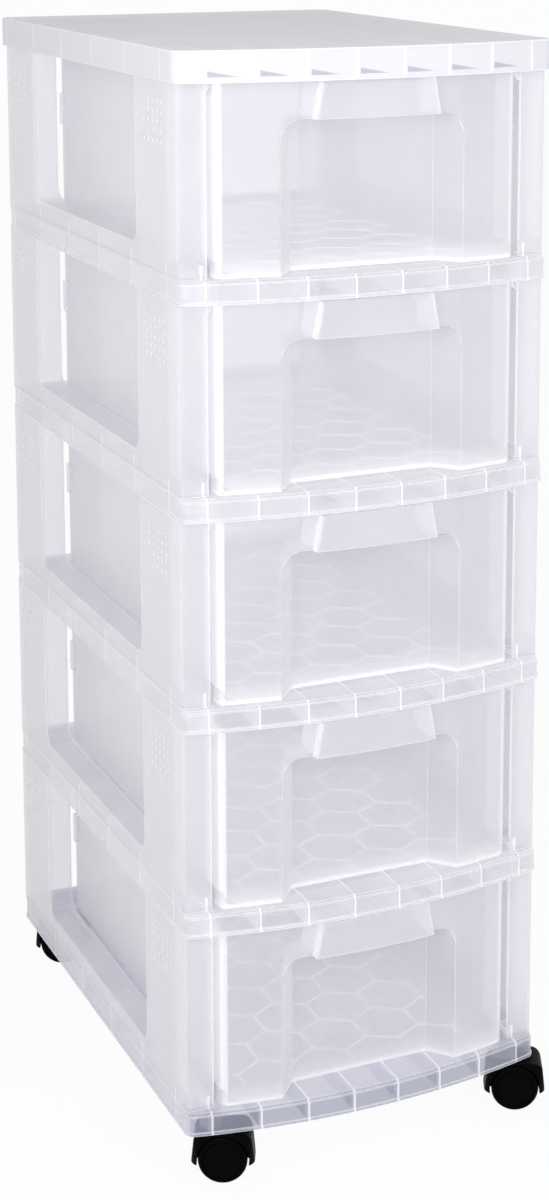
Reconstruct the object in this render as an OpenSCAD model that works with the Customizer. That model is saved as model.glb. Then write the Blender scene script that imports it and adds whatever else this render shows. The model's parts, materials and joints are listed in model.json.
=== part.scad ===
// Free-standing drawer tower: five open frames of two side panels and a ribbed deck, a top cover,
// five pull-out drawers with a recessed hand pocket, and four twin-wheel swivel casters.
// Millimetres, +Z up, front at -Y. The origin lies on the floor below the middle of the whole part.

/* [Tower] */
// Width across the side panels and decks
body_w = 300; // [260:1:360]
// Depth from the front corners to the back
body_d = 420; // [380:1:480]
// Height from one deck to the next
tier_pitch = 160; // [140:1:200]
// How far the middle of the front stands ahead of its corners
bow = 19; // [8:1:26]
// Radius of the vertical corners of a deck
corner_r = 8; // [5:0.5:11]

/* [Decks] */
// Height of a deck's skirt below its stepped top edge
skirt_h = 15; // [12:0.5:20]
// Thickness of a deck's plate, which is also the height of the step
plate_t = 2.5; // [2:0.1:4]
// Thickness of a deck's skirt
skirt_t = 2.6; // [2.2:0.1:3.5]
// How far the bead along the lower edge stands proud
bead_out = 0.8; // [0.4:0.1:1.2]
// Height of the bead along the lower edge
bead_h = 2.4; // [1.5:0.1:4]
// How far the top step lies behind the fascia at the front
step_in = 1.6; // [1:0.1:1.8]
// Distance of the outermost front-to-back ribs from the sides of a deck
rib_edge = 18.75; // [17:0.25:20]
// Thickness of a rib
rib_t = 1.8; // [1.2:0.1:2.4]
// How far the outermost short ribs along a deck's sides lie beyond the side windows
side_rib_reach = 62.8; // [50:0.1:63]
// Length that a locating tab hangs below a deck
tab_drop = 9; // [6:0.5:12]
// Width of a locating tab
tab_w = 9; // [6:0.5:11]
// Thickness of a locating tab
tab_t = 2; // [1.5:0.1:3]
// Height of the drawer guides and of the rear stop rib on a deck
guide_h = 6; // [4:0.5:9]
// Thickness of the drawer guides and of the rear stop rib
guide_t = 1.8; // [1.2:0.1:2.2]

/* [Top cover] */
// Height of the top cover
cover_h = 23.2; // [20:0.1:32]
// How far the top cover overhangs the panels and laps down over them
cover_over = 3; // [2.5:0.1:5]
// How far the top cover's skirt laps down over the top panels
cover_lap = 1.2; // [0.5:0.1:1.2]

/* [Side panels] */
// Depth of a side panel's channel, inwards from its outer face
panel_w = 22.4; // [18:0.1:24]
// Wall thickness of the side panels
panel_t = 2.2; // [1.8:0.1:3]
// Set-back of a panel's outer face from the deck's edge
panel_in = 0.6; // [0.3:0.1:1]
// Set-back of a panel's front face from the deck's front corner
panel_front = 4; // [3:0.5:8]
// Radius of a panel's outer front and rear edges
panel_r = 5; // [3:0.5:8]
// Depth of the front post
front_post = 86; // [70:1:100]
// Depth of the rear post
rear_post = 80; // [65:1:95]
// Height of the rail below the side window
rail_h = 16.5; // [12:0.5:30]
// Radius of the side window's lower corners
window_r = 11; // [6:0.5:16]
// How much farther back the window's rear end lies at the inside of a panel
window_draft = 8; // [0:0.5:10]
// Height of the tongue on top of each post
tongue_h = 8; // [5:0.5:11]
// Diameter of the pegs under each post
peg_d = 7.8; // [5:0.1:10]
// Length of the pegs under each post
peg_l = 7; // [4:0.5:12]
// Distance of the pegs from the window end of a post
peg_in = 18; // [12:1:22]
// Distance between the two pegs of a post
peg_gap = 28; // [20:1:29]

/* [Drawers] */
// Gap between a drawer and the side panels on each side
drawer_gap = 6; // [5.5:0.1:12]
// Clearance behind a closed drawer, up to the rear stop rib
stop_gap = 0.3; // [0.2:0.1:1]
// Distance of a closed drawer's rear wall from the back of the tower
drawer_back = 55; // [45:1:80]
// Distance of a drawer's front wall behind the fascia
drawer_front = 8.3; // [6:0.1:12]
// Wall and floor thickness of a drawer
drawer_t = 2; // [1.6:0.1:3]
// Radius of a drawer's vertical front corners
drawer_r = 6; // [4:0.5:12]
// Radius of a drawer's vertical rear corners
drawer_rear_r = 16; // [6:0.5:20]
// Radius along a drawer's lower side and rear edges
drawer_edge_r = 16; // [6:0.5:20]
// How far the front plate's sides reach behind the front corners
front_return = 14; // [12:0.5:30]
// Gap between a drawer's rim and the deck above
rim_gap = 1.5; // [1:0.1:4]
// Gap between a drawer's floor and its deck
floor_gap = 0.2; // [0.1:0.05:0.3]
// Width of the rim along the inside of a drawer's top edge
rim_w = 1.4; // [0.8:0.1:2.5]
// Height of the rim
rim_h = 3; // [2:0.5:5]
// Width of the hand pocket at the drawer's face
pocket_w = 148; // [120:1:156]
// Width of the hand pocket at its floor
pocket_floor_w = 116; // [90:1:118]
// Distance of the pocket's floor behind the front corners
pocket_y = 13; // [8:0.5:20]
// Distance of the pocket's top below the deck above
pocket_drop = 29; // [27:1:50]
// Radius of the pocket's top corners
pocket_r = 17; // [8:0.5:22]
// Width of the pull lip along its top
lip_w = 90; // [70:1:98]
// Width that the pull lip gains towards its lower edge
lip_flare = 10; // [4:1:14]
// Distance of the lip's face behind the fascia
lip_in = 1; // [0.6:0.1:4]
// Wall thickness of the pull lip
lip_t = 2.4; // [2:0.1:3]
// Distance that a drawer's stop lugs stand out of its sides
lug_out = 4; // [3:0.1:4.4]
// Distance of the stop lugs' front faces before a drawer's back
lug_in = 25; // [22:1:60]

/* [Casters] */
// Diameter of a caster's wheels
wheel_d = 38; // [34:1:42]
// Width of one wheel
wheel_w = 7.5; // [6:0.1:9]
// Gap between the two wheels of a caster
wheel_gap = 12; // [11.5:0.1:16]
// Diameter of the axle
axle_d = 5; // [4:0.1:6]
// Distance from the swivel axis to the axle
trail = 10; // [9.5:0.1:14]
// Diameter of the stem
stem_d = 7; // [6:0.1:8]
// Length of the stem inside its socket in the base deck
stem_l = 14; // [11:0.5:15]
// Length of the hood along the rolling direction
hood_l = 49; // [47:0.5:56]
// Radius of the hood's corners, seen from above
hood_r = 9; // [6:0.5:12]
// Clearance between the wheels and the hood
wheel_clear = 1.3; // [1:0.1:2]
// Height of the hood's lower edge above the floor
hood_low = 15; // [12:0.5:17]
// Distance of the stems from the tower's sides
stem_in_x = 23; // [22:0.5:30]
// Distance of the stems from the front corners and from the back
stem_in_y = 12; // [11.5:0.5:30]
// Direction in which the casters trail, about the vertical
caster_turn = -25; // [-180:1:180]

/* [Hidden] */

tiers = 5;
fit = 0.05;              // radial running clearance of pins in their bores
slack = 0.3;             // clearance between neighbouring plastic parts
eps = 0.01;              // overlap of cutters past a face
arc_n = 36;              // flat strips along the bowed front
fillet_n = 8;            // flat strips round a vertical corner
round_fn = 64;           // segments of a drawn circle

half_w = body_w / 2;
rib_pitch = (body_w - 2 * rib_edge) / 7;  // distance between the front-to-back ribs
bow_r = (half_w * half_w + bow * bow) / (2 * bow);
bow_cy = bow_r - bow;    // centre of the bow, in y from the front corners

swivel_gap = 1;                          // height of the collar between hood and socket
hood_top = wheel_d + wheel_clear + 1.7;  // the hood's roof lies over the wheels
base_z = hood_top + swivel_gap;
deck_top = skirt_h + plate_t;            // a deck's plate above its lower edge
panel_h = tier_pitch - deck_top;
panel_x = half_w - panel_in;             // outer face of a side panel
panel_in_x = panel_x - panel_w;          // inner edge of a side panel
panel_back = body_d - panel_in;
window_y0 = panel_front + front_post;
window_y1 = panel_back - rear_post;
skirt_in = bead_out + skirt_t;           // inner face of a skirt, in from the deck's edge
peg_x = panel_x - panel_w / 2;
peg_ys = [window_y0 - peg_in - peg_gap, window_y0 - peg_in, window_y1 + peg_in, window_y1 + peg_in + peg_gap];
tab_x = panel_in_x + 1;                  // middle of a locating tab
side_rib_y = (window_y0 + window_y1) / 2;
side_rib_pitch = (window_y1 - window_y0 + 2 * side_rib_reach) / 5;  // distance between the short ribs
tongue_x = half_w - skirt_in - slack - panel_t;  // inner face of the panels' tongues

drawer_half = panel_in_x - drawer_gap;
lip_z0 = tier_pitch - pocket_drop;       // the lip ends at the pocket's top
drawer_z0 = deck_top + floor_gap;
drawer_z1 = tier_pitch - rim_gap;
drawer_y1 = body_d - drawer_back;
guide_x = drawer_half + slack + 0.9;     // inner face of the drawer guides
lug_l = 6;                               // length of a stop lug
lug_h = 26;                              // height of a stop lug
lug_z = 96;                              // lower end of a stop lug above its deck
lug_y = drawer_y1 - lug_in;              // front face of a closed drawer's lugs: it slides out by lug_y - window_y0
stop_x = drawer_half + 2.3;              // inner edge of the stop rims on the side panels
stop_h = 60;                             // height of a stop rim

axle_z = wheel_d / 2;
axle_half = wheel_gap / 2 + wheel_w - 2;
web_t = 5;                               // middle web of a hood
hood_half = wheel_gap / 2 + wheel_w + 1; // half the width of a hood
housing_r = wheel_gap / 2 - 0.6;         // stem housing, between the wheels
hub_r = axle_d / 2 + 1.5;
hood_edge_r = 8;                         // radius of a hood's upper edges, seen from the side
hood_lean = 2;                           // inward lean of a hood's ends
socket_r = stem_d / 2 + 4.5;
groove_r = stem_d / 2 - 0.8;             // the grip ring's groove
ring_h = 5;

stem_xs = half_w - stem_in_x;
stem_ys = [stem_in_y, body_d - stem_in_y];
// Reach of a hood from its middle, in the direction a.
function hood_reach(a) = hood_r + (hood_l / 2 - hood_r) * abs(cos(a - caster_turn))
    + (hood_half - hood_r) * abs(sin(a - caster_turn));
// The whole part's box about the middle of the front corners, and the shift that centres it on the origin.
box_x = [min(-half_w - cover_over, -stem_xs + trail * cos(caster_turn) - hood_reach(180)),
    max(half_w + cover_over, stem_xs + trail * cos(caster_turn) + hood_reach(0))];
box_y = [min(-bow - bead_out, stem_ys[0] + trail * sin(caster_turn) - hood_reach(270)),
    max(body_d + cover_over, stem_ys[1] + trail * sin(caster_turn) + hood_reach(90))];
shift = [-(box_x[0] + box_x[1]) / 2, -(box_y[0] + box_y[1]) / 2];

ghost = [0.93, 0.93, 0.96, 0.55];
ghost_drawer = [0.95, 0.95, 0.98, 0.45];

// Points of a round arc with centre c, radius r, from angle a0 to a1, in n strips.
function arc(c, r, a0, a1, n) = [for (i = [0:n]) let(a = a0 + (a1 - a0) * i / n)
    [c[0] + r * cos(a), c[1] + r * sin(a)]];

// Front of the bow at x, with the arc moved back by inset.
function bow_y(x, inset) = bow_cy - sqrt(pow(bow_r - inset, 2) - x * x);

// Plan outline with a bowed front: half width hw, back edge, front arc moved back by inset,
// front corner radius r and rear corner radius rb.
function plan(hw, back, inset, r, rb) =
    let(big = bow_r - inset, cx = hw - r, cy = bow_cy - sqrt(pow(big - r, 2) - cx * cx),
        at = atan2(cy - bow_cy, cx))
    concat(arc([0, bow_cy], big, -180 - at, at, arc_n),
        arc([cx, cy], r, at, 0, fillet_n),
        arc([hw - rb, back - rb], rb, 0, 90, fillet_n),
        arc([-hw + rb, back - rb], rb, 90, 180, fillet_n),
        arc([-cx, cy], r, 180, 180 - at, fillet_n));

module prism(points, z0, z1) {
    translate([0, 0, z0]) linear_extrude(z1 - z0) polygon(points);
}

// A profile drawn in x and z, extruded from y0 to y1.
module along_y(y0, y1) {
    translate([0, y1, 0]) rotate([90, 0, 0]) linear_extrude(y1 - y0) children();
}

// A profile drawn in y and z, extruded from x0 to x1.
module along_x(x0, x1) {
    translate([x0, 0, 0]) rotate([90, 0, 90]) linear_extrude(x1 - x0) children();
}

module both_sides() {
    children();
    mirror([1, 0, 0]) children();
}

// ---- decks and top cover ----

// Tongue that hangs from a plate's underside at plate_z, behind the front wall of a side panel.
module locating_tab(plate_z) {
    translate([tab_x, panel_front + panel_t + slack, 0]) {
        translate([-tab_w / 2, 0, -tab_drop + tab_w / 2]) cube([tab_w, tab_t, tab_drop - tab_w / 2 + plate_z + eps]);
        translate([0, tab_t, -tab_drop + tab_w / 2]) rotate([90, 0, 0]) cylinder(d = tab_w, h = tab_t, $fn = round_fn);
    }
}

// Front-to-back ribs, from the fascia to the rear skirt, between z0 and z1.
module long_ribs(z0, z1, back) {
    for (i = [0:7]) let(x = (i - 3.5) * rib_pitch)
        translate([x - rib_t / 2, bow_y(x, bead_out + skirt_t / 2), z0])
            cube([rib_t, back - bow_y(x, bead_out + skirt_t / 2) - bead_out - skirt_t / 2, z1 - z0]);
}

// Short ribs outwards from the outer long ribs: as far as the side skirts along the window, and as far as
// the panels' tongues over the posts.
module side_ribs(z0, z1, hw) {
    x0 = 3.5 * rib_pitch;
    both_sides() for (i = [-2.5:1:2.5])
        translate([x0, side_rib_y + i * side_rib_pitch - rib_t / 2, z0])
            cube([(abs(i) > 2 ? tongue_x - slack : hw - bead_out - skirt_t / 2) - x0, rib_t, z1 - z0]);
}

module deck_shell() {
    difference() {
        union() {
            prism(plan(half_w - bead_out, body_d - bead_out, bead_out, corner_r - bead_out, corner_r - bead_out), 0, skirt_h);
            prism(plan(half_w - bead_out, body_d - bead_out, bead_out + step_in, corner_r - bead_out, corner_r - bead_out),
                0, deck_top);
            prism(plan(half_w, body_d, 0, corner_r, corner_r), 0, bead_h);
        }
        prism(plan(half_w - skirt_in, body_d - skirt_in, skirt_in, corner_r - skirt_in, corner_r - skirt_in),
            -eps, skirt_h);
    }
    long_ribs(0, skirt_h + eps, body_d);
    side_ribs(0, skirt_h + eps, half_w);
}

// Guides beside the drawer and the rib that stops it at the back.
module drawer_guides() {
    both_sides() translate([guide_x, panel_front + 12, deck_top - eps])
        cube([guide_t, drawer_y1 - panel_front - 12, guide_h + eps]);
    translate([-drawer_half + 20, drawer_y1 + stop_gap, deck_top - eps])
        cube([2 * drawer_half - 40, guide_t, guide_h + eps]);
}

module peg_holes() {
    both_sides() for (y = peg_ys)
        translate([peg_x, y, skirt_h - eps]) cylinder(d = peg_d + 2 * fit, h = plate_t + 2 * eps, $fn = round_fn);
}

module deck(tier) {
    color(ghost) translate([shift[0], shift[1], base_z + (tier - 1) * tier_pitch]) {
        difference() {
            union() {
                deck_shell();
                drawer_guides();
                if (tier > 1) both_sides() locating_tab(skirt_h);
                if (tier == 1) stem_sockets();
            }
            peg_holes();
            if (tier == 1) stem_bores();
        }
    }
}

module top_cover() {
    hw = half_w + cover_over;
    back = body_d + cover_over;
    out = -bead_out;
    r = corner_r + 2;
    color([0.86, 0.86, 0.9, 0.75]) translate([shift[0], shift[1], base_z + tiers * tier_pitch]) {
        difference() {
            union() {
                prism(plan(hw, back, out, r, r), -cover_lap, cover_h - cover_lap - 0.8);
                prism(plan(hw - 0.8, back - 0.8, out + 0.8, r - 0.8, r - 0.8), -cover_lap, cover_h - cover_lap);
            }
            prism(plan(hw - skirt_t, back - skirt_t, out + skirt_t, r - skirt_t, r - skirt_t),
                -cover_lap - eps, cover_h - cover_lap - plate_t);
        }
        long_ribs(0, cover_h - cover_lap - plate_t + eps, back + bead_out);
        side_ribs(0, cover_h - cover_lap - plate_t + eps, hw + bead_out);
        both_sides() locating_tab(cover_h - cover_lap - plate_t);
    }
}

// ---- side panels ----

// Side view of the window from y0 to y1, open at the top.
module window_profile(y0, y1) {
    translate([y0, rail_h + window_r]) square([y1 - y0, panel_h]);
    translate([y0 + window_r, rail_h]) square([y1 - y0 - 2 * window_r, window_r + eps]);
    for (y = [y0 + window_r, y1 - window_r])
        translate([y, rail_h + window_r]) circle(r = window_r, $fn = round_fn);
}

// Cuts the window, whose rear end slants back towards the inside.
module window_cut() {
    along_x(panel_in_x - 1, panel_x + 1) window_profile(window_y0, window_y1);
    translate([panel_x, window_y1, 0]) rotate([0, 0, -atan(window_draft / panel_w)])
        along_x(-panel_w - 4, 0.5) window_profile(-3 * window_r, 0);
}

// Rear end of the window at x.
function draft_y(x) = window_y1 + window_draft * (panel_x - x) / panel_w;

// Plan of a whole panel, with round outer edges.
panel_outline = concat([[panel_in_x, panel_front]],
    arc([panel_x - panel_r, panel_front + panel_r], panel_r, -90, 0, fillet_n),
    arc([panel_x - panel_r, panel_back - panel_r], panel_r, 0, 90, fillet_n), [[panel_in_x, panel_back]]);

// Plans of the hollows in the front and rear posts, which open towards the drawer.
front_hollow = concat([[panel_in_x - 1, panel_front + panel_t]],
    arc([panel_x - panel_r, panel_front + panel_r], panel_r - panel_t, -90, 0, fillet_n),
    [[panel_x - panel_t, window_y0 - panel_t], [panel_in_x - 1, window_y0 - panel_t]]);
rear_hollow = concat([[panel_in_x - 1, draft_y(panel_in_x - 1) + panel_t],
    [panel_x - panel_t, draft_y(panel_x - panel_t) + panel_t]],
    arc([panel_x - panel_r, panel_back - panel_r], panel_r - panel_t, 0, 90, fillet_n),
    [[panel_in_x - 1, panel_back - panel_t]]);

// Right-hand panel of one tier, standing on z = 0.
module panel_right() {
    difference() {
        prism(panel_outline, 0, panel_h);
        window_cut();
        prism(front_hollow, panel_t, panel_h - panel_t);
        prism(rear_hollow, panel_t, panel_h - panel_t);
        // hollow rail
        translate([panel_in_x - 1, window_y0 + window_r, panel_t])
            cube([panel_w + 1 - panel_t, window_y1 - window_y0 - 2 * window_r, rail_h - 2 * panel_t]);
        // room for the locating tab of the deck above
        translate([panel_in_x - 1, panel_front + panel_t, panel_h - panel_t - eps])
            cube([tab_x + tab_w / 2 + slack - panel_in_x + 1, tab_t + 2 * slack, panel_t + 2 * eps]);
    }
    // ribs across the rail
    for (i = [-0.5, 0.5]) translate([panel_in_x, side_rib_y + i * side_rib_pitch - rib_t / 2, panel_t - eps])
        cube([panel_w - panel_t + eps, rib_t, rail_h - 2 * panel_t + 2 * eps]);
    // tongues into the deck above
    for (y = [[panel_front + 11, window_y0 - 5], [window_y1 + 5, panel_back - 9]])
        translate([tongue_x, y[0], panel_h - eps]) cube([panel_t, y[1] - y[0], tongue_h + eps]);
    for (y = peg_ys) translate([peg_x, y, -peg_l]) cylinder(d = peg_d, h = peg_l + eps, $fn = round_fn);
    // stop rim behind the front post
    translate([stop_x, window_y0 - 2 * panel_t, lug_z + lug_h / 2 - stop_h / 2 - deck_top])
        cube([panel_in_x - stop_x + eps, 2 * panel_t, stop_h]);
}

module side_panel(side, tier) {
    color(ghost) translate([shift[0], shift[1], base_z + (tier - 1) * tier_pitch + deck_top])
        mirror([side == "left" ? 1 : 0, 0, 0]) panel_right();
}

// ---- drawers ----

module drawer_plan(t, z0, z1) {
    prism(plan(drawer_half - t, drawer_y1 - t, drawer_front + t, drawer_r - t, drawer_rear_r - t), z0, z1);
}

// Cross-section of a drawer with rounded lower edges, from -w to w.
module tub_profile(w, z0, r) {
    translate([-w, z0 + r]) square([2 * w, tier_pitch]);
    translate([-w + r, z0]) square([2 * (w - r), r + eps]);
    for (x = [-w + r, w - r]) translate([x, z0 + r]) circle(r = r, $fn = round_fn);
}

// Box of a drawer, t inside its outer faces.
module tub(t, z1) {
    y0 = -bow - 20;
    mid = (y0 + drawer_y1 - t) / 2;
    intersection() {
        drawer_plan(t, drawer_z0 + t, z1);
        along_y(y0 - 1, drawer_y1 + 1) tub_profile(drawer_half - t, drawer_z0 + t, drawer_edge_r - t);
        translate([0, mid, 0]) along_x(-2 * drawer_half, 2 * drawer_half)
            tub_profile(drawer_y1 - t - mid, drawer_z0 + t, drawer_edge_r - t);
    }
}

// Upright plate that closes the tub's front down to the floor, with short returns along the sides.
module front_plate() {
    difference() {
        drawer_plan(0, drawer_z0, drawer_z1);
        drawer_plan(drawer_t, drawer_z0 - 1, drawer_z1 + 1);
        translate([-half_w, front_return, drawer_z0 - 1]) cube([body_w, body_d, tier_pitch]);
    }
}

// Hand pocket, grown outwards by g.
module pocket(g) {
    z1 = tier_pitch - pocket_drop + g;
    r = pocket_r + g;
    side = (pocket_w - pocket_floor_w) / 2 / (pocket_y - bow_y(pocket_w / 2, drawer_front));
    face = pocket_w / 2 + g * sqrt(1 + side * side);
    floor_x = pocket_floor_w / 2 + g * (sqrt(1 + side * side) - side);
    y_face = bow_y(pocket_w / 2, drawer_front);
    y_front = -bow - 5;
    intersection() {
        prism([[-floor_x, pocket_y + g], [-face, y_face], [-face - side * (y_face - y_front), y_front],
            [face + side * (y_face - y_front), y_front], [face, y_face], [floor_x, pocket_y + g]], 0, z1);
        along_y(y_front - 1, pocket_y + g + 1) {
            translate([-face, 0]) square([2 * face, z1 - r]);
            translate([-face + r, 0]) square([2 * (face - r), z1]);
            for (x = [-face + r, face - r]) translate([x, z1 - r]) circle(r = r, $fn = round_fn);
        }
    }
}

// Pull lip, t inside its outer faces; open below when t is above 0.
module lip(t) {
    z0 = lip_z0 - (t > 0 ? 1 : 0);
    z1 = drawer_z1 - t;
    low = lip_w / 2 + lip_flare / 2 - t;
    intersection() {
        prism(plan(half_w, pocket_y + drawer_t - t, lip_in + t, 1, 1), z0, z1);
        along_y(-bow - 5, pocket_y + drawer_t + 5)
            polygon([[-lip_w / 2 + t, z1], [-low, z0], [low, z0], [lip_w / 2 - t, z1]]);
    }
}

module drawer(tier) {
    color(ghost_drawer) translate([shift[0], shift[1], base_z + (tier - 1) * tier_pitch]) {
        difference() {
            union() {
                difference() {
                    tub(0, drawer_z1);
                    tub(drawer_t, drawer_z1 + 1);
                }
                front_plate();
                difference() {
                    drawer_plan(0, drawer_z1 - rim_h, drawer_z1);
                    drawer_plan(drawer_t + rim_w, drawer_z1 - rim_h - 1, drawer_z1 + 1);
                }
                intersection() {
                    tub(0, drawer_z1);
                    pocket(drawer_t);
                }
                lip(0);
            }
            pocket(0);
            lip(lip_t);
        }
        both_sides() translate([drawer_half - eps, lug_y, lug_z]) cube([lug_out + eps, lug_l, lug_h]);
    }
}

// ---- casters ----

module stem_sockets() {
    for (x = [-stem_xs, stem_xs], y = stem_ys)
        translate([x, y, 0]) cylinder(r = socket_r, h = skirt_h + eps, $fn = round_fn);
}

module stem_bores() {
    for (x = [-stem_xs, stem_xs], y = stem_ys)
        translate([x, y, -eps]) cylinder(d = stem_d + 2 * fit, h = stem_l + 1, $fn = round_fn);
}

// Places a caster's parts: corner is "fl", "fr", "rl" or "rr".
module at_corner(corner) {
    x = corner[1] == "l" ? -stem_xs : stem_xs;
    y = corner[0] == "f" ? stem_ys[0] : stem_ys[1];
    translate([x + shift[0], y + shift[1], 0]) rotate([0, 0, caster_turn]) children();
}

stem_low = axle_z + 8;   // lower end of the stem, inside the hood

module caster_stem(corner) {
    color([0.72, 0.73, 0.75]) at_corner(corner) difference() {
        union() {
            translate([0, 0, stem_low]) cylinder(d = stem_d, h = base_z + stem_l - 1.5 - stem_low, $fn = round_fn);
            translate([0, 0, base_z + stem_l - 1.5]) cylinder(d1 = stem_d, d2 = stem_d - 2, h = 1.5, $fn = round_fn);
            translate([0, 0, hood_top + 0.1]) cylinder(r = stem_d / 2 + 2, h = swivel_gap - 0.2, $fn = round_fn);
        }
        translate([0, 0, base_z + 4]) difference() {
            cylinder(r = stem_d, h = ring_h, $fn = round_fn);
            translate([0, 0, -eps]) cylinder(r = groove_r, h = ring_h + 2 * eps, $fn = round_fn);
        }
    }
}

module caster_grip_ring(corner) {
    color([0.6, 0.61, 0.63]) at_corner(corner) translate([0, 0, base_z + 4.2]) difference() {
        cylinder(r = stem_d / 2 + fit / 2, h = ring_h - 0.4, $fn = round_fn);
        translate([0, 0, -eps]) cylinder(r = groove_r + fit, h = ring_h, $fn = round_fn);
        translate([0, -0.6, -eps]) cube([stem_d, 1.2, ring_h]);
    }
}

module on_axle() {
    translate([trail, 0, axle_z]) rotate([90, 0, 0]) children();
}

// Side view of a hood about its wheels' axis: x along the rolling direction, y upwards from the floor.
module hood_profile() {
    low = hood_l / 2;
    high = low - hood_lean;
    polygon([[-low, hood_low], [low, hood_low], [high, hood_top - hood_edge_r], [high - hood_edge_r, hood_top],
        [-high + hood_edge_r, hood_top], [-high, hood_top - hood_edge_r]]);
    for (x = [-high + hood_edge_r, high - hood_edge_r])
        translate([x, hood_top - hood_edge_r]) circle(r = hood_edge_r, $fn = round_fn);
}

module hood_plan() {
    square([hood_l, 2 * (hood_half - hood_r)], center = true);
    square([hood_l - 2 * hood_r, 2 * hood_half], center = true);
    for (x = [-1, 1], y = [-1, 1])
        translate([x * (hood_l / 2 - hood_r), y * (hood_half - hood_r)]) circle(r = hood_r, $fn = round_fn);
}

module caster_hood(corner) {
    wheel_room = wheel_d / 2 + wheel_clear;
    color([0.1, 0.1, 0.11]) at_corner(corner) difference() {
        union() {
            translate([trail, 0, 0]) intersection() {
                along_y(-hood_half, hood_half) hood_profile();
                linear_extrude(hood_top) hood_plan();
                difference() {
                    translate([-hood_l, -hood_half, 0]) cube([2 * hood_l, 2 * hood_half, hood_top]);
                    for (y = [-hood_half - 1, web_t / 2]) translate([0, y, axle_z]) rotate([-90, 0, 0])
                        cylinder(r = wheel_room, h = hood_half + 1 - web_t / 2, $fn = 96);
                }
            }
            on_axle() translate([0, 0, -web_t / 2]) cylinder(r = hub_r + 4, h = web_t, $fn = round_fn);
            translate([0, 0, stem_low - 3]) cylinder(r = housing_r, h = hood_top - 1.5 - stem_low + 3, $fn = round_fn);
        }
        translate([0, 0, stem_low - 0.5]) cylinder(r = stem_d / 2 + fit, h = hood_top - stem_low + 1, $fn = round_fn);
        on_axle() translate([0, 0, -web_t]) cylinder(d = axle_d + 2 * fit, h = 2 * web_t, $fn = round_fn);
    }
}

module caster_axle(corner) {
    color([0.7, 0.71, 0.73]) at_corner(corner) on_axle()
        translate([0, 0, -axle_half]) cylinder(d = axle_d, h = 2 * axle_half, $fn = round_fn);
}

// Half section of a wheel: x is the radius, y the distance from the caster's middle plane.
module wheel_section() {
    r = wheel_d / 2;
    y0 = wheel_gap / 2;
    y1 = y0 + wheel_w;
    bore = axle_d / 2 + fit;
    polygon([[bore, web_t / 2 + slack], [hub_r, web_t / 2 + slack], [hub_r, y0 + 2.5], [r - 4, y0 + 2.5], [r - 3.4, y0],
        [r - 1, y0], [r, y0 + 1], [r, y1 - 1.8], [r - 0.5, y1 - 0.7], [r - 1.6, y1], [r - 2.6, y1],
        [r - 3, y1 - 0.7], [r - 4.4, y1 - 0.7], [r - 4.8, y1 - 0.1], [0, y1], [0, axle_half + 0.2], [bore, axle_half + 0.2]]);
}

module caster_wheel(corner, side) {
    color([0.12, 0.12, 0.13]) at_corner(corner) on_axle() mirror([0, 0, side])
        rotate_extrude($fn = 96) wheel_section();
}

for (tier = [2:tiers]) {
    deck(tier);
}
deck(1);  // base_deck
top_cover();
for (tier = [1:tiers]) {
    side_panel("left", tier);
    side_panel("right", tier);
    drawer(tier);
}
for (corner = ["fl", "fr", "rl", "rr"]) {
    caster_stem(corner);
    caster_grip_ring(corner);
    caster_hood(corner);
    caster_axle(corner);
    caster_wheel(corner, 0);
    caster_wheel(corner, 1);
}
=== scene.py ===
# Translucent drawer tower on casters: finishes, raised dots, honeycomb floors, lamps, floor and camera.
import json
import math

import bpy
import numpy as np
from mathutils import Matrix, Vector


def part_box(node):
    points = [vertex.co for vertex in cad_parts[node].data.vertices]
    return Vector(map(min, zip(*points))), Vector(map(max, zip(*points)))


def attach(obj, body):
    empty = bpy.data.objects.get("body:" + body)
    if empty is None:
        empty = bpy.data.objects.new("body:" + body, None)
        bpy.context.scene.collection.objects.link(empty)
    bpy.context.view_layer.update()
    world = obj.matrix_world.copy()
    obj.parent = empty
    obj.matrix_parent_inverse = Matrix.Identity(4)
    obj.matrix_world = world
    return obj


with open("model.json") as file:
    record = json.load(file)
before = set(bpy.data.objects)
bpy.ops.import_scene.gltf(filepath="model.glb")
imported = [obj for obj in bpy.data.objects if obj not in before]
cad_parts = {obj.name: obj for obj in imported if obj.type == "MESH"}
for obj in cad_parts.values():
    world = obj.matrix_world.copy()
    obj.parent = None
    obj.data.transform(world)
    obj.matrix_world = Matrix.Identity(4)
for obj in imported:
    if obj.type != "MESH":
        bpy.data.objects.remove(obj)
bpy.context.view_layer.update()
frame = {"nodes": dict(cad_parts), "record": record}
nodes = frame["nodes"]
scene = bpy.context.scene

# The tower's own measures in metres. Its local frame starts at the base deck's underside, in the middle of its front.
tower = {
    "tiers": 5,
    "tierPitch": 0.160,
    "baseHeight": 0.042,
    "halfWidth": 0.150,
    "depth": 0.420,
    "deckHeight": 0.028,
    "ribPitch": 0.0375,
    "sideRibPitch": 0.075,
    "sideRibY": 0.2147,
    "sideFrom": 0.1325,  # the posts and the short side ribs lie beyond this
}
tower["shiftX"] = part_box("base_deck")[0].x + tower["halfWidth"]
tower["shiftY"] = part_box("base_deck")[1].y - tower["depth"]
print("frame loaded:", len(nodes), "nodes")


def hexColour(text):
    # sRGB hex to linear RGBA
    values = [int(text[i:i + 2], 16) / 255 for i in (1, 3, 5)]
    return [v / 12.92 if v <= 0.04045 else ((v + 0.055) / 1.055) ** 2.4 for v in values] + [1.0]


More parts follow.
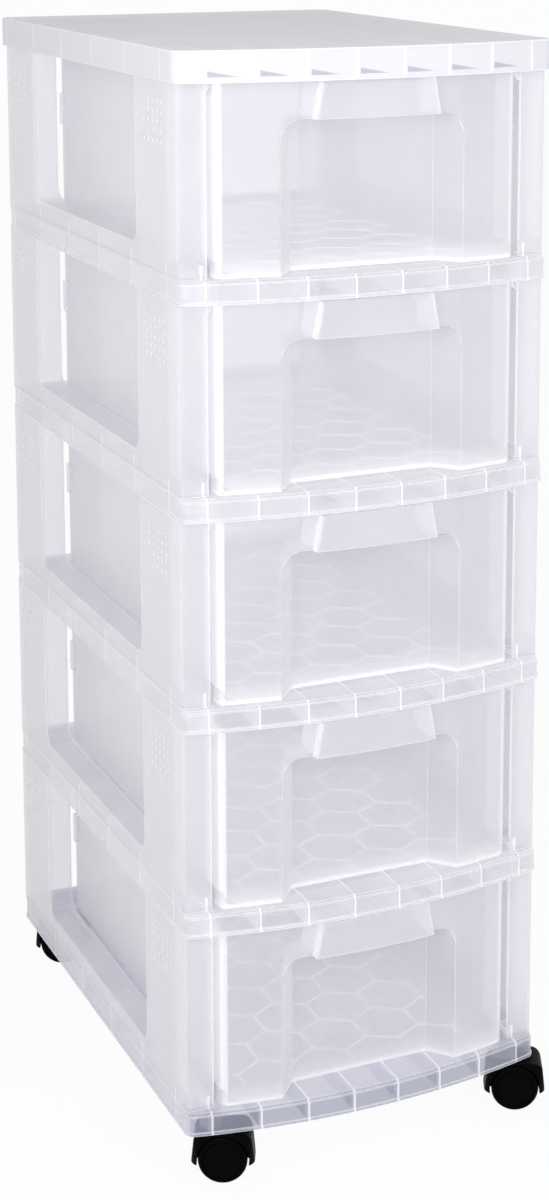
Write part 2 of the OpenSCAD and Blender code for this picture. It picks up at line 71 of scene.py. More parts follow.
def addNode(tree, kind, settings=None, **inputs):
    # adds a node, sets its properties (a word alone is its operation), and fills its inputs, named or by number as
    # i0, i1, with values or with links from sockets
    node = tree.nodes.new(kind)
    if isinstance(settings, str):
        settings = {"operation": settings}
    for name, value in (settings or {}).items():
        setattr(node, name, value)
    for name, value in inputs.items():
        numbered = name[0] == "i" and name[1:].isdigit()
        socket = node.inputs[int(name[1:])] if numbered else node.inputs[name.replace("_", " ")]
        if isinstance(value, bpy.types.NodeSocket):
            tree.links.new(value, socket)
        else:
            socket.default_value = value
    return node


def newMaterial(name):
    material = bpy.data.materials.new(name)
    material.use_nodes = True
    tree = material.node_tree
    tree.nodes.clear()
    output = tree.nodes.new("ShaderNodeOutputMaterial")
    return material, tree, output


def placeMask(tree, measures, where, fade=None):
    # 1 where every measure lies between its two bounds and 0 elsewhere; a fade goes from 0 to 1 along one measure
    mask = 1.0
    if fade:
        measure, zeroAt, oneAt = fade
        rising = oneAt > zeroAt
        mask = addNode(tree, "ShaderNodeMapRange", {"interpolation_type": "SMOOTHSTEP"}, Value=measures[measure],
                       From_Min=min(zeroAt, oneAt), From_Max=max(zeroAt, oneAt), To_Min=0.0 if rising else 1.0,
                       To_Max=1.0 if rising else 0.0).outputs[0]
    for measure, (low, high) in where.items():
        inside = addNode(tree, "ShaderNodeMath", "COMPARE", i0=measures[measure], i1=(low + high) / 2,
                         i2=(high - low) / 2).outputs[0]
        mask = addNode(tree, "ShaderNodeMath", "MULTIPLY", i0=mask, i1=inside).outputs[0]
    return mask


def lineMask(tree, along, start, pitch, halfWidth, softness):
    # 1 on lines that repeat every pitch along a measure, 0 between them
    moved = addNode(tree, "ShaderNodeMath", "SUBTRACT", i0=along, i1=start).outputs[0]
    away = addNode(tree, "ShaderNodeMath", "PINGPONG", i0=moved, i1=pitch / 2).outputs[0]
    return addNode(tree, "ShaderNodeMapRange", {"interpolation_type": "SMOOTHSTEP"}, Value=away, From_Min=halfWidth,
                   From_Max=halfWidth + softness, To_Min=1.0, To_Max=0.0).outputs[0]


# Moulded polypropylene: frosted and a little milky. Light that grazes a wall or runs along an edge comes out white,
# which is drawn as a painted highlight, and edges and some spots also get a painted glow. A wall seen straight on is
# a pale lavender grey that half hides what is behind it. The plastic's IOR is 1.49.
# Bounds are in metres: depth from the front, inTier up from the deck's underside, fromMiddle to each side. The faces
# words give the share of a normal that points to the side, to the front or back, and up or down.
frontFace = {"facesFront": (0.6, 1.1), "depth": (-0.1, 0.012)}
# the sides of the lips and of the front's corners are seen along their whole width: they get more haze, a painted
# highlight and a painted glow
sideWalls = {"facesSide": (0.80, 1.1), "depth": (-0.1, 0.030), "inTier": (0.030, 0.2), "fromMiddle": (-0.1, 0.1485)}
# each finish's hazeAndPaintedHighlights lists spots that get more haze, a painted highlight and a painted glow
polypropylene = {
    "clear": {
        "plane": "#f2f0f5", "edge": "#fcfcfd", "tint": "#fcfcfd", "haze": 0.28, "edgeHaze": 0.60, "grazeWhite": 1.0,
        "roughness": 0.34, "gloss": 0.5, "ribLines": 0.65,
        "hazeAndPaintedHighlights": [
            {"where": sideWalls, "add": 0.15, "white": 1.0, "paintedGlow": 1.0},
            # the front strip of a shelf gets a painted highlight for the light falling on the drawer's front
            {"where": {"facesUp": (0.7, 1.1), "depth": (-0.1, 0.006)}, "add": 0.10, "white": 0.5, "paintedGlow": 0.0},
            # the posts' front faces have a second wall close behind them
            {"where": {**frontFace, "fromMiddle": (0.1225, 0.2)}, "add": 0.02, "white": 0.25, "paintedGlow": 0.0},
        ]},
    "base": {
        "plane": "#dadae4", "edge": "#f4f4f8", "tint": "#f6f6fa", "haze": 0.45, "edgeHaze": 0.45, "grazeWhite": 1.0,
        "roughness": 0.34, "gloss": 0.5, "ribLines": 0.65, "frontShade": "#a0a2b3", "hazeAndPaintedHighlights": []},
    "drawer": {
        "plane": "#eeedf2", "edge": "#fcfcfd", "tint": "#fcfcfd", "haze": 0.30, "edgeHaze": 0.75, "grazeWhite": 1.2,
        "roughness": 0.28, "gloss": 0.5, "ribLines": 0.0, "edgeFaceOn": 0.50,
        "hazeAndPaintedHighlights": [
            # the lowest 20 mm of the drawer's front get more haze and a painted highlight and glow, for its rounded
            # bottom edge that lies behind them
            {"where": {"facesFront": (0.6, 1.1), "depth": (-0.1, 0.030)}, "fade": ("inTier", 0.038, 0.012),
             "add": 0.24, "white": 1.0, "paintedGlow": 0.25},
            # the front's bottom edge gets one bright line of painted highlight and glow, for the floor's light
            # gathered there
            {"where": {"facesUp": (-0.1, 0.5), "depth": (-0.1, 0.030)}, "fade": ("inTier", 0.0222, 0.0200),
             "least": 0.85, "white": 1.0, "paintedGlow": 1.0},
            # the front's round vertical corners get a painted highlight and glow, as the edges do
            {"where": {"facesUp": (-0.1, 0.5), "depth": (-0.1, 0.012)}, "fade": ("fromMiddle", 0.1150, 0.1172),
             "least": 0.62, "white": 1.0, "paintedGlow": 0.4},
            {"where": sideWalls, "add": 0.34, "white": 1.0, "paintedGlow": 1.0},
        ]},
    "milky": {
        "plane": "#f6f6f9", "edge": "#fdfdfe", "tint": "#f8f8fb", "haze": 0.70, "edgeHaze": 0.20, "grazeWhite": 0.2,
        "roughness": 0.60, "gloss": 0.2, "ribLines": 0.80, "frontShade": "#f1f1f5", "hazeAndPaintedHighlights": [],
        "wedges": {"low": 0.0030, "height": 0.0050, "under": 0.001, "from": 0.05, "to": 0.85, "softness": 0.0012,
                   "colour": "#c6c7d5"}},
}
# how an edge's painted highlight shows: its width, the turn of the normal from which it shows and at which it is
# full, and its painted glow
edgeGlow = {"radius": 0.0017, "samples": 2, "from": 0.02, "to": 0.16, "haze": 0.90, "paintedGlow": 0.07,
            "faceOn": 0.15, "alongWall": 0.40}
ribLine = {"halfWidth": 0.0007, "softness": 0.0004, "sideSoftness": 0.0005, "fadeFrom": 0.020, "fadeTo": 0.060,
           "least": 0.12}
scatter = {"forwards": 0.65, "most": 0.95, "IOR": 1.49, "flowLength": 0.0625, "flowFrom": 0.3, "flowTo": 0.7,
           "flowHaze": 0.02, "peelSize": 0.004, "peelDepth": 0.0004, "peelStrength": 0.05}


def towerMeasures(tree, place, flat):
    # a point's place in the tower's local frame and in its tier, and where its face points
    origin = (tower["shiftX"], tower["shiftY"], tower["baseHeight"])
    local = addNode(tree, "ShaderNodeVectorMath", "SUBTRACT", i0=place, i1=origin).outputs[0]
    across, depth, height = addNode(tree, "ShaderNodeSeparateXYZ", Vector=local).outputs
    turned = addNode(tree, "ShaderNodeVectorMath", "ABSOLUTE", i0=flat).outputs[0]
    side, front, up = addNode(tree, "ShaderNodeSeparateXYZ", Vector=turned).outputs
    inTier = addNode(tree, "ShaderNodeMath", "FLOORED_MODULO", i0=height, i1=tower["tierPitch"]).outputs[0]
    fromMiddle = addNode(tree, "ShaderNodeMath", "ABSOLUTE", i0=across).outputs[0]
    return {"across": across, "depth": depth, "inTier": inTier, "fromMiddle": fromMiddle,
            "facesSide": side, "facesFront": front, "facesUp": up}


def edgeMask(tree, flat, facing, faceOn):
    # an edge gets a painted highlight and glow 1 to 2 mm to each side of it, for the light that runs inside the wall
    rounded = addNode(tree, "ShaderNodeBevel", {"samples": edgeGlow["samples"]}, Radius=edgeGlow["radius"]).outputs[0]
    turned = addNode(tree, "ShaderNodeVectorMath", "DOT_PRODUCT", i0=rounded, i1=flat).outputs["Value"]
    turned = addNode(tree, "ShaderNodeMath", "ABSOLUTE", i0=turned).outputs[0]
    edge = addNode(tree, "ShaderNodeMapRange", Value=turned, From_Min=1 - edgeGlow["from"],
                   From_Max=1 - edgeGlow["to"]).outputs[0]
    if faceOn < 1:  # and shows it most where the wall beside it is seen along its width
        shown = addNode(tree, "ShaderNodeMapRange", Value=facing, From_Min=edgeGlow["faceOn"],
                        From_Max=edgeGlow["alongWall"], To_Min=faceOn, To_Max=1.0).outputs[0]
        edge = addNode(tree, "ShaderNodeMath", "MULTIPLY", i0=edge, i1=shown).outputs[0]
    return edge


def wedgeMask(tree, measures, spec):
    # above the cover's rim line, a dim wedge of painted shade in each cell stands where the light doesn't reach
    # between two ribs
    pitch = tower["ribPitch"]
    inCell = addNode(tree, "ShaderNodeMath", "SUBTRACT", i0=measures["across"], i1=pitch / 2).outputs[0]
    inCell = addNode(tree, "ShaderNodeMath", "FLOORED_MODULO", i0=inCell, i1=pitch).outputs[0]
    crest = addNode(tree, "ShaderNodeMapRange", Value=inCell, From_Min=spec["from"] * pitch,
                    From_Max=spec["to"] * pitch, To_Min=spec["low"] + spec["height"],
                    To_Max=spec["low"] - spec["under"]).outputs[0]
    below = addNode(tree, "ShaderNodeMath", "SUBTRACT", i0=crest, i1=measures["inTier"]).outputs[0]
    dim = addNode(tree, "ShaderNodeMapRange", Value=below, From_Min=0.0, From_Max=spec["softness"]).outputs[0]
    cell = placeMask(tree, {**measures, "inCell": inCell}, {
        **frontFace, "inTier": (spec["low"], tower["tierPitch"]), "fromMiddle": (-0.1, tower["sideFrom"]),
        "inCell": (spec["from"] * pitch, pitch)})
    return addNode(tree, "ShaderNodeMath", "MULTIPLY", i0=dim, i1=cell).outputs[0]


def mouldedPolypropylene(name, spec):
    material, tree, output = newMaterial(name)
    place = addNode(tree, "ShaderNodeTexCoord").outputs["Object"]
    flat = addNode(tree, "ShaderNodeNewGeometry").outputs["Normal"]
    facing = addNode(tree, "ShaderNodeLayerWeight", Blend=0.5).outputs["Facing"]
    grazing = addNode(tree, "ShaderNodeMath", "POWER", i0=facing, i1=2.0).outputs[0]
    measures = towerMeasures(tree, place, flat)
    edge = edgeMask(tree, flat, facing, spec.get("edgeFaceOn", 1.0))
    # faint flow marks from moulding, about 60 mm long
    flow = addNode(tree, "ShaderNodeTexNoise", Vector=place, Scale=1 / scatter["flowLength"], Detail=2.0,
                   Roughness=0.5).outputs[0]
    haze = addNode(tree, "ShaderNodeMapRange", Value=flow, From_Min=scatter["flowFrom"], From_Max=scatter["flowTo"],
                   To_Min=spec["haze"] - scatter["flowHaze"], To_Max=spec["haze"] + scatter["flowHaze"]).outputs[0]
    haze = addNode(tree, "ShaderNodeMath", "MULTIPLY_ADD", i0=grazing, i1=spec["edgeHaze"], i2=haze).outputs[0]
    least = addNode(tree, "ShaderNodeMath", "MULTIPLY", i0=edge, i1=edgeGlow["haze"]).outputs[0]
    haze = addNode(tree, "ShaderNodeMath", "MAXIMUM", i0=haze, i1=least).outputs[0]
    # white is a painted highlight: how far the colour goes to the edge colour at grazing views, on edges, at the
    # listed spots and on rib lines
    white = addNode(tree, "ShaderNodeMath", "MULTIPLY", i0=grazing, i1=spec["grazeWhite"]).outputs[0]
    white = addNode(tree, "ShaderNodeMath", "MAXIMUM", i0=white, i1=edge).outputs[0]
    paintedGlow = edge
    for spot in spec["hazeAndPaintedHighlights"]:
        mask = placeMask(tree, measures, spot["where"], spot.get("fade"))
        if "add" in spot:
            haze = addNode(tree, "ShaderNodeMath", "MULTIPLY_ADD", i0=mask, i1=spot["add"], i2=haze).outputs[0]
        else:
            least = addNode(tree, "ShaderNodeMath", "MULTIPLY", i0=mask, i1=spot["least"]).outputs[0]
            haze = addNode(tree, "ShaderNodeMath", "MAXIMUM", i0=haze, i1=least).outputs[0]
        whiter = addNode(tree, "ShaderNodeMath", "MULTIPLY", i0=mask, i1=spot["white"]).outputs[0]
        white = addNode(tree, "ShaderNodeMath", "MAXIMUM", i0=white, i1=whiter).outputs[0]
        share = addNode(tree, "ShaderNodeMath", "MULTIPLY", i0=mask, i1=spot["paintedGlow"]).outputs[0]
        paintedGlow = addNode(tree, "ShaderNodeMath", "MAXIMUM", i0=paintedGlow, i1=share).outputs[0]
    if spec["ribLines"]:
        # where a rib meets the wall in front of it the plastic is thick and hazy, and its white line, less so far
        # behind, is a painted highlight with painted glow
        middle = {"inTier": (-0.1, tower["deckHeight"]), "fromMiddle": (-0.1, tower["sideFrom"])}
        sides = {"inTier": (-0.1, tower["deckHeight"]), "fromMiddle": (tower["sideFrom"], 0.2)}
        near = addNode(tree, "ShaderNodeMapRange", Value=measures["depth"], From_Min=ribLine["fadeFrom"],
                       From_Max=ribLine["fadeTo"], To_Min=1.0, To_Max=ribLine["least"]).outputs[0]
        ribs = lineMask(tree, measures["across"], tower["ribPitch"] / 2, tower["ribPitch"], ribLine["halfWidth"],
                        ribLine["softness"])
        ribs = addNode(tree, "ShaderNodeMath", "MULTIPLY", i0=ribs, i1=near).outputs[0]
        inMiddle = placeMask(tree, measures, middle)
        ribs = addNode(tree, "ShaderNodeMath", "MULTIPLY", i0=ribs, i1=inMiddle).outputs[0]
        shorts = lineMask(tree, measures["depth"], tower["sideRibY"] + tower["sideRibPitch"] / 2,
                          tower["sideRibPitch"], ribLine["halfWidth"], ribLine["sideSoftness"])
        atSides = placeMask(tree, measures, sides)
        shorts = addNode(tree, "ShaderNodeMath", "MULTIPLY", i0=shorts, i1=atSides).outputs[0]
        lines = addNode(tree, "ShaderNodeMath", "MAXIMUM", i0=ribs, i1=shorts).outputs[0]
        least = addNode(tree, "ShaderNodeMath", "MULTIPLY", i0=lines, i1=spec["ribLines"]).outputs[0]
        haze = addNode(tree, "ShaderNodeMath", "MAXIMUM", i0=haze, i1=least).outputs[0]
        white = addNode(tree, "ShaderNodeMath", "MAXIMUM", i0=white, i1=lines).outputs[0]
        paintedGlow = addNode(tree, "ShaderNodeMath", "MAXIMUM", i0=paintedGlow, i1=lines).outputs[0]
        # a rib deep below the shelf is lost in the frosting of what is in front of it
        ribWall = placeMask(tree, measures, {**middle, "facesSide": (0.7, 1.1)})
        kept = addNode(tree, "ShaderNodeMix", {"data_type": "FLOAT"}, i0=ribWall, i2=1.0, i3=near).outputs[0]
        haze = addNode(tree, "ShaderNodeMath", "MULTIPLY", i0=haze, i1=kept).outputs[0]
    # haze scatters mostly forwards, so what lights the inside passes it nearly unhindered
    paths = addNode(tree, "ShaderNodeLightPath").outputs
    lighting = addNode(tree, "ShaderNodeMath", "MAXIMUM", i0=paths["Is Shadow Ray"],
                       i1=paths["Is Diffuse Ray"]).outputs[0]
    held = addNode(tree, "ShaderNodeMapRange", Value=lighting, To_Min=1.0, To_Max=1 - scatter["forwards"]).outputs[0]
    haze = addNode(tree, "ShaderNodeMath", "MULTIPLY", i0=haze, i1=held).outputs[0]
    haze = addNode(tree, "ShaderNodeMath", "MINIMUM", i0=haze, i1=scatter["most"]).outputs[0]
    plane = hexColour(spec["plane"])
    # painted shade: front faces get the darker frontShade colour
    if "frontShade" in spec:
        shaded = placeMask(tree, measures, frontFace)
        plane = addNode(tree, "ShaderNodeMix", {"data_type": "RGBA"}, i0=shaded, i6=plane,
                        i7=hexColour(spec["frontShade"])).outputs[2]
    if "wedges" in spec:
        dim = wedgeMask(tree, measures, spec["wedges"])
        plane = addNode(tree, "ShaderNodeMix", {"data_type": "RGBA"}, i0=dim, i6=plane,
                        i7=hexColour(spec["wedges"]["colour"])).outputs[2]
    colour = addNode(tree, "ShaderNodeMix", {"data_type": "RGBA"}, i0=white, i6=plane,
                     i7=hexColour(spec["edge"])).outputs[2]
    # slight orange peel, 4 mm across
    peel = addNode(tree, "ShaderNodeTexNoise", Vector=place, Scale=1 / scatter["peelSize"], Detail=1.0).outputs[0]
    bump = addNode(tree, "ShaderNodeBump", Strength=scatter["peelStrength"], Distance=scatter["peelDepth"],
                   Height=peel).outputs[0]
    shell = addNode(tree, "ShaderNodeBsdfPrincipled", Base_Color=colour, Roughness=spec["roughness"],
                    IOR=scatter["IOR"], Specular_IOR_Level=spec["gloss"], Normal=bump)
    clear = addNode(tree, "ShaderNodeBsdfTransparent", Color=hexColour(spec["tint"]))
    mixed = addNode(tree, "ShaderNodeMixShader", i0=haze, i1=clear.outputs[0], i2=shell.outputs[0])
    # painted glow: an edge, a rib line or a listed spot gives off light as emission, for the light that the whole
    # wall gathers
    leaving = addNode(tree, "ShaderNodeMath", "MULTIPLY", i0=paintedGlow, i1=edgeGlow["paintedGlow"]).outputs[0]
    glow = addNode(tree, "ShaderNodeEmission", Color=hexColour(spec["edge"]), Strength=leaving)
    lit = addNode(tree, "ShaderNodeAddShader", i0=mixed.outputs[0], i1=glow.outputs[0])
    tree.links.new(lit.outputs[0], output.inputs["Surface"])
    return material


# Plain moulded or plated surfaces. Grain is the size of the pebbles or crystals that make the gloss uneven and depth
# how deep they are, in metres. The real grain, below 0.1 mm, is too fine to show and is drawn larger.
plainFinishes = {
    # nylon 6, spark-eroded: nearly black, with a soft grey sheen on its curves
    "moulded black nylon": {"colour": "#020202", "roughness": 0.42, "grain": 0.00111, "depth": 0.0001,
                            "shell": {"IOR": 1.53, "Specular_IOR_Level": 0.03}},
    # the stems and axles: bright grey with a slightly uneven gloss
    "zinc plated steel": {"colour": "#b7babd", "roughness": 0.30, "grain": 0.00167, "depth": 0.00005,
                          "shell": {"Metallic": 1.0}},
    # where the plastic is thick and pebbled, it scatters to white
    "moulded polypropylene, thick": {"colour": "#fefeff", "roughness": 0.60, "grain": 0.002, "depth": 0.0001,
                                     "shell": {"IOR": 1.49}},
    # polished ribs with a faint painted glow, given off as emission, for the light that the drawer's floor gathers
    "moulded polypropylene, ribs": {"colour": "#fefeff", "roughness": 0.35, "grain": 0.002, "depth": 0.0001,
                                    "shell": {"IOR": 1.49, "Emission_Color": hexColour("#ffffff"),
                                              "Emission_Strength": 0.08}},
}
unevenGloss = {"smoother": 0.06, "rougher": 0.08, "bump": 0.2, "detail": 3.0}


def plainFinish(name):
    spec = plainFinishes[name]
    material, tree, output = newMaterial(name)
    place = addNode(tree, "ShaderNodeTexCoord").outputs["Object"]
    speck = addNode(tree, "ShaderNodeTexNoise", Vector=place, Scale=1 / spec["grain"],
                    Detail=unevenGloss["detail"]).outputs[0]
    rough = addNode(tree, "ShaderNodeMapRange", Value=speck, To_Min=spec["roughness"] - unevenGloss["smoother"],
                    To_Max=spec["roughness"] + unevenGloss["rougher"]).outputs[0]
    bump = addNode(tree, "ShaderNodeBump", Strength=unevenGloss["bump"], Distance=spec["depth"],
                   Height=speck).outputs[0]
    shell = addNode(tree, "ShaderNodeBsdfPrincipled", Base_Color=hexColour(spec["colour"]), Roughness=rough,
                    Normal=bump, **spec["shell"])
    tree.links.new(shell.outputs[0], output.inputs["Surface"])
    return material


finishes = {kind: mouldedPolypropylene("moulded polypropylene, " + kind, spec)
            for kind, spec in polypropylene.items()}
finishes["nylon"] = plainFinish("moulded black nylon")
finishes["steel"] = plainFinish("zinc plated steel")
finishOf = {"clear_pp": "clear", "milky_pp": "milky", "drawer_pp": "drawer", "black_nylon": "nylon", "steel": "steel"}
slotOf = {part["node"]: part["material_slot"] for part in frame["record"]["subparts"]}
for name, node in nodes.items():
    material = finishes["base" if name == "base_deck" else finishOf[slotOf[name]]]
    node.data.materials.clear()
    node.data.materials.append(material)
print("finishes assigned")


def addPiece(name, vertices, faces, body, material, smooth):
    mesh = bpy.data.meshes.new(name)
    mesh.from_pydata(vertices.tolist(), [], faces)
    mesh.polygons.foreach_set("use_smooth", np.full(len(mesh.polygons), smooth))
    mesh.materials.append(material)
    mesh.update()
    piece = bpy.data.objects.new(name, mesh)
    scene.collection.objects.link(piece)
    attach(piece, body)
    return piece


# Raised dots near the top of each post, in a grid that follows the panel.
dots = {"radius": 0.0013, "height": 0.00035, "columns": 5, "rows": 5, "rowPitch": 0.0071, "lowestRow": 0.1142,
        "frontStart": 0.0338, "frontPitch": 0.0091, "rearStart": 0.3643, "rearPitch": 0.0095, "panelX": 0.1494,
        "sides": 12, "rings": 3}


def domeShape(spec):
    # a dome: at angle a from its top, a ring has the radius r sin(a) and stands h cos(a) proud, down to 90 degrees
    angle = np.linspace(0, math.pi / 2, spec["rings"] + 1)[1:, None]
    turn = np.arange(spec["sides"])[None] * 2 * math.pi / spec["sides"]
    rings = np.stack([spec["height"] * np.cos(angle) + 0 * turn, spec["radius"] * np.sin(angle) * np.cos(turn),
                      spec["radius"] * np.sin(angle) * np.sin(turn)], axis=-1).reshape(-1, 3)
    points = np.vstack([[spec["height"], 0, 0], rings])
    here = 1 + np.arange(spec["sides"])
    after = np.roll(here, -1)
    top = np.stack([0 * here, here, after], axis=1)
    down = np.arange(spec["rings"] - 1)[:, None, None] * spec["sides"]
    around = np.stack([after, here, here + spec["sides"], after + spec["sides"]], axis=1)
    return points, top, (down + around[None]).reshape(-1, 4)


def addDots(spec, material):
    dome, top, around = domeShape(spec)
    tier, post, column, row, side = [a.ravel() for a in np.meshgrid(
        np.arange(tower["tiers"]), [0, 1], np.arange(spec["columns"]), np.arange(spec["rows"]), [-1.0, 1.0],
        indexing="ij")]
    start = np.where(post == 0, spec["frontStart"], spec["rearStart"])
    pitch = np.where(post == 0, spec["frontPitch"], spec["rearPitch"])
    height = tower["baseHeight"] + tier * tower["tierPitch"] + spec["lowestRow"] + row * spec["rowPitch"]
    centre = np.stack([side * spec["panelX"] + tower["shiftX"], start + column * pitch + tower["shiftY"], height],
                      axis=1)
    scale = np.stack([side, side, np.ones_like(side)], axis=1)  # a half turn on the left, so faces stay outwards
    vertices = (centre[:, None] + dome[None] * scale[:, None]).reshape(-1, 3)
    offsets = np.arange(len(centre))[:, None, None] * len(dome)
    faces = (offsets + top[None]).reshape(-1, 3).tolist() + (offsets + around[None]).reshape(-1, 4).tolist()
    return addPiece("panel_dots", vertices, faces, "tower", material, smooth=True)


addDots(dots, plainFinish("moulded polypropylene, thick"))
print("raised dots made")


# Honeycomb of low ribs on each drawer's floor. Side is a cell's side, centreY the middle of a row of cells, and
# leastShare the share of an edge that has to lie inside the floor for it to be kept.
honeycomb = {"side": 0.027, "width": 0.0020, "height": 0.0005, "sunk": 0.0001, "halfX": 0.098, "fromY": 0.022,
             "toY": 0.340, "floorTop": 0.0197, "centreY": 0.0645, "columns": (-4, 5), "rows": (-4, 10),
             "leastShare": 0.05}


def honeycombEdges(spec):
    # corners of pointed-end cells: rows 1.5 sides apart, every other row half a cell on; each cell gives three edges
    side = spec["side"]
    wide = side * math.sqrt(3)
    column, row = [g.ravel() for g in np.meshgrid(np.arange(*spec["columns"]), np.arange(*spec["rows"]),
                                                  indexing="ij")]
    cellX = (column + 0.5 * (row % 2)) * wide
    cellY = spec["centreY"] + row * 1.5 * side
    turn = np.radians([90, 30, -30, -90])
    corner = np.stack([cellX[:, None] + side * np.cos(turn), cellY[:, None] + side * np.sin(turn)], axis=-1)
    edges = np.stack([corner[:, :-1], corner[:, 1:]], axis=2).reshape(-1, 2, 2)
    low, high = np.array([-spec["halfX"], spec["fromY"]]), np.array([spec["halfX"], spec["toY"]])
    return clipEdges(edges, low, high, spec["leastShare"])


def clipEdges(edges, low, high, leastShare):
    # keeps the part of each edge inside the box: from the last side it enters by to the first it leaves by
    start, along = edges[:, 0], edges[:, 1] - edges[:, 0]
    safe = np.where(np.abs(along) < 1e-9, 1e-9, along)
    toLow, toHigh = (low - start) / safe, (high - start) / safe
    enters = np.clip(np.minimum(toLow, toHigh).max(axis=1), 0, 1)
    leaves = np.clip(np.maximum(toLow, toHigh).min(axis=1), 0, 1)
    keep = leaves - enters > leastShare
    return np.stack([start + along * enters[:, None], start + along * leaves[:, None]], axis=1)[keep]


def ribBars(edges, spec, z):
    # each rib is a low bar: its corners are the edge's ends moved half a width to each side, below and on top
    along = edges[:, 1] - edges[:, 0]
    along /= np.linalg.norm(along, axis=1)[:, None]
    across = np.stack([-along[:, 1], along[:, 0]], axis=1) * spec["width"] / 2
    flat = np.stack([edges[:, 0] - across, edges[:, 1] - across, edges[:, 1] + across, edges[:, 0] + across], axis=1)
    low = np.concatenate([flat, np.full(flat.shape[:2] + (1,), z - spec["sunk"])], axis=2)
    top = np.concatenate([flat, np.full(flat.shape[:2] + (1,), z + spec["height"])], axis=2)
    vertices = np.concatenate([low, top], axis=1).reshape(-1, 3)
    quads = np.array([[3, 2, 1, 0], [4, 5, 6, 7], [0, 1, 5, 4], [1, 2, 6, 5], [2, 3, 7, 6], [3, 0, 4, 7]])
    faces = np.arange(len(edges))[:, None, None] * len(low[0]) * 2 + quads[None]
    return vertices + [tower["shiftX"], tower["shiftY"], 0], faces.reshape(-1, 4).tolist()


floorEdges = honeycombEdges(honeycomb)
ribFinish = plainFinish("moulded polypropylene, ribs")
for tier in range(tower["tiers"]):
    z = tower["baseHeight"] + tier * tower["tierPitch"] + honeycomb["floorTop"]
    vertices, faces = ribBars(floorEdges, honeycomb, z)
    addPiece(f"drawer_floor_ribs_{tier + 1}", vertices, faces, f"pull_out_{tier + 1}", ribFinish,
             smooth=False)
print("floor ribs made:", len(floorEdges), "in each drawer")


# Floor and backdrop: plain white, seen directly as white, with the object's shadow kept. Sizes and places are in
# metres and power in watts.
studio = {"floorSize": 14.0, "floorWhite": "#ffffff", "shadowShare": 0.06, "worldLevel": 0.46,
          "worldColour": "#fdfdfe"}
lamps = {
    "key": {"place": (0.6, -1.8, 1.4), "aim": (0.0, -0.1, 0.6), "size": 0.9, "power": 11.6, "colour": "#ffffff"},
    "fill": {"place": (-0.95, -1.0, 1.1), "aim": (0.0, 0.0, 0.6), "size": 0.7, "power": 9.2, "colour": "#fdfdff"},
    "rim": {"place": (1.3, 1.9, 1.2), "aim": (0.0, 0.0, 0.5), "size": 1.4, "power": 2.6, "colour": "#ffffff"},
}


def seenDirectly(tree):
    # 1 for what the camera sees itself, in gloss or through glass
    paths = addNode(tree, "ShaderNodeLightPath").outputs
    direct = addNode(tree, "ShaderNodeMath", "MAXIMUM", i0=paths["Is Camera Ray"],
                     i1=paths["Is Glossy Ray"]).outputs[0]
    return addNode(tree, "ShaderNodeMath", "MAXIMUM", i0=direct, i1=paths["Is Transmission Ray"]).outputs[0]


half = studio["floorSize"] / 2
floorMesh = bpy.data.meshes.new("studio_floor")
floorMesh.from_pydata([(-half, -half, 0), (half, -half, 0), (half, half, 0), (-half, half, 0)], [], [(0, 1, 2, 3)])
floorMaterial, tree, output = newMaterial("white studio floor")
paint = addNode(tree, "ShaderNodeBsdfDiffuse", Color=hexColour(studio["floorWhite"]))
glow = addNode(tree, "ShaderNodeEmission", Color=hexColour("#ffffff"), Strength=1.0)
share = addNode(tree, "ShaderNodeMath", "MULTIPLY", i0=seenDirectly(tree), i1=1 - studio["shadowShare"]).outputs[0]
both = addNode(tree, "ShaderNodeMixShader", i0=share, i1=paint.outputs[0], i2=glow.outputs[0])
tree.links.new(both.outputs[0], output.inputs["Surface"])
floorMesh.materials.append(floorMaterial)
studioFloor = bpy.data.objects.new("studio_floor", floorMesh)
scene.collection.objects.link(studioFloor)

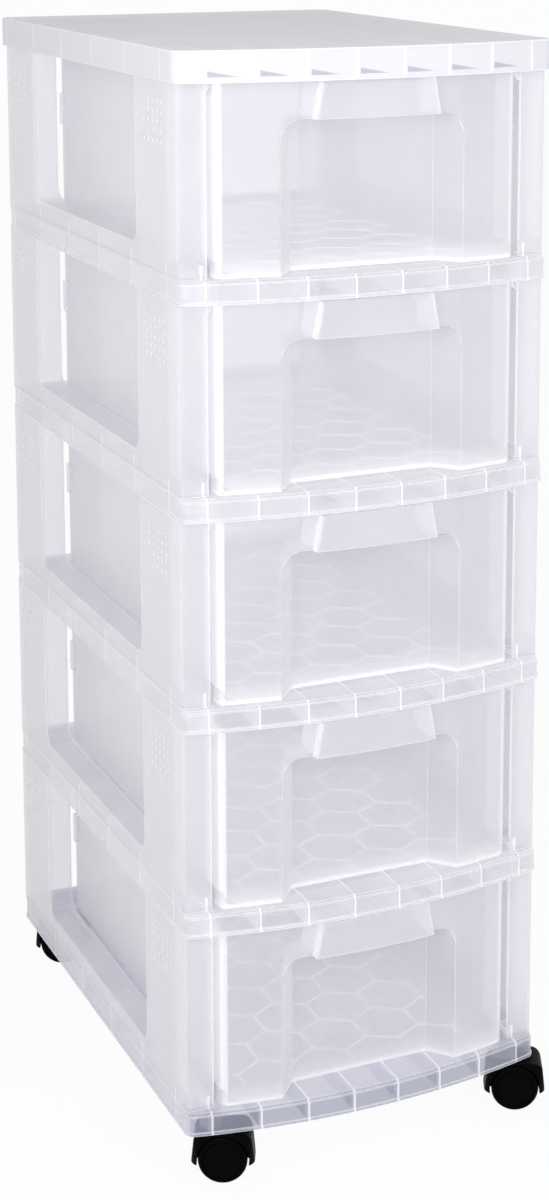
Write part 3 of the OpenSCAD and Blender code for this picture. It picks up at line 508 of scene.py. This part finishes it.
world = bpy.data.worlds.new("white studio")
scene.world = world
world.use_nodes = True
tree = world.node_tree
tree.nodes.clear()
strength = addNode(tree, "ShaderNodeMapRange", Value=seenDirectly(tree), To_Min=studio["worldLevel"],
                   To_Max=1.0).outputs[0]
surround = addNode(tree, "ShaderNodeBackground", Color=hexColour(studio["worldColour"]), Strength=strength)
output = tree.nodes.new("ShaderNodeOutputWorld")
tree.links.new(surround.outputs[0], output.inputs["Surface"])


def standing(place, right, up, back):
    # matrix of an object at place with these three axes
    return Matrix([[right[i], up[i], back[i], place[i]] for i in range(3)] + [[0, 0, 0, 1]])


for name, spec in lamps.items():
    lamp = bpy.data.lights.new(name, "AREA")
    lamp.size = spec["size"]
    lamp.energy = spec["power"]
    lamp.color = hexColour(spec["colour"])[:3]
    holder = bpy.data.objects.new(name, lamp)
    scene.collection.objects.link(holder)
    back = np.subtract(spec["place"], spec["aim"])
    back /= np.linalg.norm(back)
    right = np.cross([0, 0, 1], back)
    right /= np.linalg.norm(right)
    holder.matrix_world = standing(spec["place"], right, np.cross(back, right), back)
print("studio made")


# Camera: place in metres, turn about the vertical, tilt and roll in degrees, and for a frame of 549 x 1200 pixels its
# focal length and the point that it looks at, in pixels.
view = {"place": (-0.72155, -1.70791, 0.98419), "turn": -24.65, "tilt": 9.58, "roll": 0.07, "focal": 2297.15,
        "centre": (337.19, 264.0), "size": (549, 1200), "sensor": 36.0}
turn, tilt, roll = [math.radians(view[angle]) for angle in ("turn", "tilt", "roll")]
back = np.array([math.sin(turn) * math.cos(tilt), -math.cos(turn) * math.cos(tilt), math.sin(tilt)])
level = np.array([math.cos(turn), math.sin(turn), 0.0])
upward = np.cross(back, level)
right = math.cos(roll) * level + math.sin(roll) * upward
up = -math.sin(roll) * level + math.cos(roll) * upward
lens = bpy.data.cameras.new("camera")
lens.sensor_width = view["sensor"]
lens.lens = view["focal"] / view["size"][1] * view["sensor"]
lens.shift_x = (view["size"][0] / 2 - view["centre"][0]) / view["size"][1]
lens.shift_y = (view["centre"][1] - view["size"][1] / 2) / view["size"][1]
camera = bpy.data.objects.new("camera", lens)
scene.collection.objects.link(camera)
camera.matrix_world = standing(view["place"], right, up, back)
scene.camera = camera

scene.view_settings.view_transform = "Standard"
scene.cycles.transparent_max_bounces = 64  # a line of sight crosses many thin walls
scene.cycles.max_bounces = 16
scene.cycles.diffuse_bounces = 8

print("camera and sizes done")
